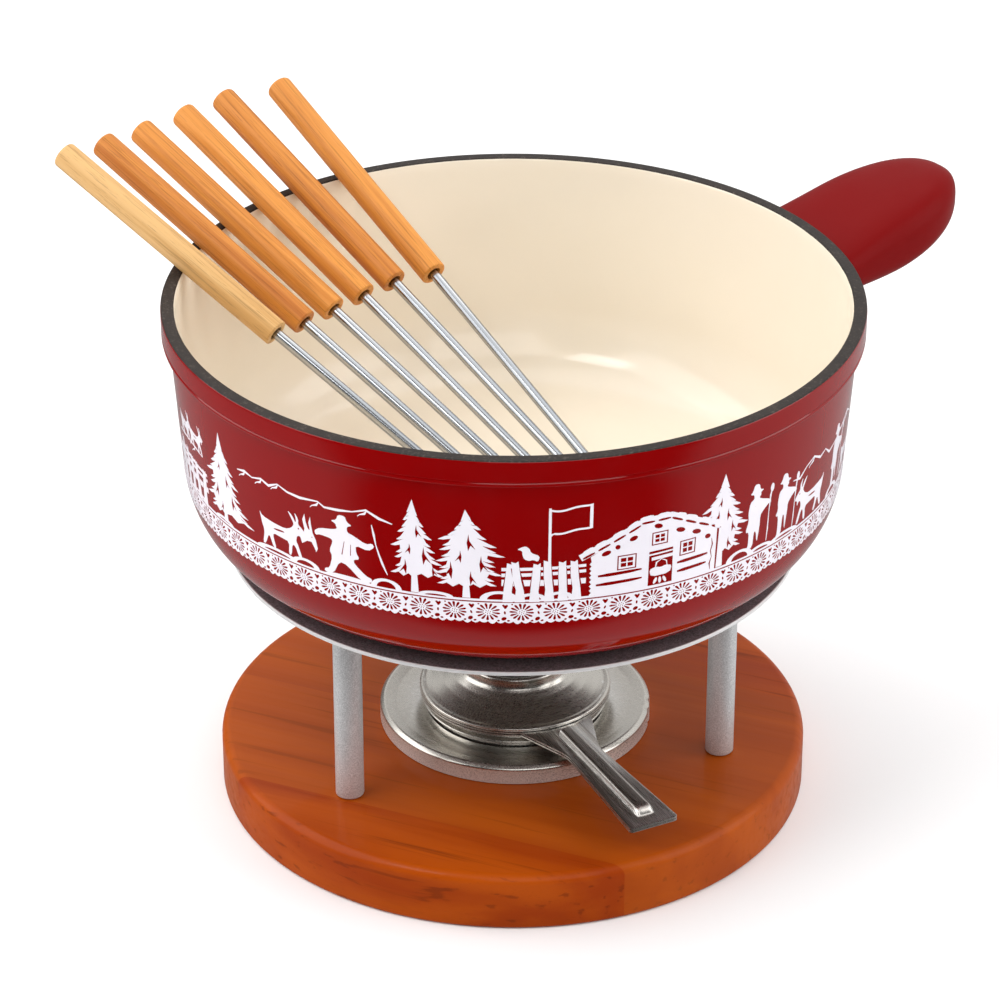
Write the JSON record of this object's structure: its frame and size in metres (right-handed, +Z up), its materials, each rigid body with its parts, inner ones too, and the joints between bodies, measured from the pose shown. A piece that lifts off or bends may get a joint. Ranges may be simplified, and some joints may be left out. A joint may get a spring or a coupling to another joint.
{
  "type": "fondue pot set",
  "caption": "Enamelled cast-iron fondue pot with a side handle on a legged stand with a round wooden base, a paste burner with a turning regulator, and long wooden-handled forks.",
  "frame": {"origin": "centre of the wooden base's underside", "axes": "+Z up, +X under the pot's handle"},
  "size_m": [0.3117, 0.2762, 0.2242],
  "materials": {
    "cherry_wood": "stained and lacquered, fine straight grain",
    "silver_paint": "silver-grey satin with a fine speckle",
    "ring_steel": "satin, bright at the edge",
    "zinc_steel": "zinc plated",
    "red_enamel": "glossy red enamel outside with a white printed frieze, cream enamel inside, bare dark rim",
    "satin_red": "satin red, smooth",
    "stainless": "brushed",
    "fuel_wool": "matted mineral wool",
    "wire_gauze": "woven wire",
    "fork_steel": "polished",
    "ash_wood": "pale, oiled",
    "light_cherry": "light orange, oiled",
    "dark_cherry": "darker orange, oiled"
  },
  "bodies": {
    "stand": {"wood_base": "cherry_wood", "leg_front_left": "silver_paint", "leg_front_right": "silver_paint", "leg_rear": "silver_paint", "support_ring": "ring_steel", "base_screw_1": "zinc_steel", "base_screw_2": "zinc_steel", "base_screw_3": "zinc_steel", "ring_screw_1": "zinc_steel", "ring_screw_2": "zinc_steel", "ring_screw_3": "zinc_steel"},
    "pot": {"pot_body": "red_enamel", "pot_handle": "satin_red", "handle_bolt": "zinc_steel", "handle_washer": "zinc_steel"},
    "tray": {"burner_tray": "stainless"},
    "burner": {"burner_cup": "stainless", "fuel_pad": "fuel_wool", "gauze_disc": "wire_gauze", "damper_plate": "stainless", "pivot_rivet": "stainless"},
    "regulator": {"regulator_plate": "stainless", "bell_cover": "stainless"},
    "fork_1": {"fork_1_handle": "ash_wood", "fork_1_shank": "fork_steel"},
    "fork_2": {"fork_2_handle": "dark_cherry", "fork_2_shank": "fork_steel"},
    "fork_3": {"fork_3_handle": "light_cherry", "fork_3_shank": "fork_steel"},
    "fork_4": {"fork_4_handle": "light_cherry", "fork_4_shank": "fork_steel"},
    "fork_5": {"fork_5_handle": "dark_cherry", "fork_5_shank": "fork_steel"},
    "fork_6": {"fork_6_handle": "light_cherry", "fork_6_shank": "fork_steel"}
  },
  "joints": [
    {"name": "pot_lift", "type": "slide", "parent": "stand", "child": "pot", "axis": [0, 0, 1], "range_m": [0, 0.12]},
    {"name": "fork_1_draw", "type": "slide", "parent": "pot", "child": "fork_1", "axis": [-0.336, 0.8274, 0.4501], "range_m": [0, 0.22]},
    {"name": "fork_2_draw", "type": "slide", "parent": "pot", "child": "fork_2", "axis": [-0.2858, 0.8543, 0.4342], "range_m": [0, 0.22]},
    {"name": "fork_3_draw", "type": "slide", "parent": "pot", "child": "fork_3", "axis": [-0.2449, 0.8713, 0.4254], "range_m": [0, 0.22]},
    {"name": "fork_4_draw", "type": "slide", "parent": "pot", "child": "fork_4", "axis": [-0.1885, 0.887, 0.4216], "range_m": [0, 0.22]},
    {"name": "fork_5_draw", "type": "slide", "parent": "pot", "child": "fork_5", "axis": [-0.1465, 0.8949, 0.4216], "range_m": [0, 0.22]},
    {"name": "fork_6_draw", "type": "slide", "parent": "pot", "child": "fork_6", "axis": [-0.0681, 0.906, 0.4177], "range_m": [0, 0.22]},
    {"name": "tray_draw", "type": "slide", "parent": "stand", "child": "tray", "axis": [-0.3827, -0.9239, 0], "range_m": [0, 0.17]},
    {"name": "burner_lift", "type": "slide", "parent": "tray", "child": "burner", "axis": [0, 0, 1], "range_m": [0, 0.03]},
    {"name": "regulator_turn", "type": "hinge", "parent": "burner", "child": "regulator", "pos_m": [0.0018, 0.0012, 0.0335], "axis": [0, 0, -1], "range_deg": [0, 60]}
  ]
}
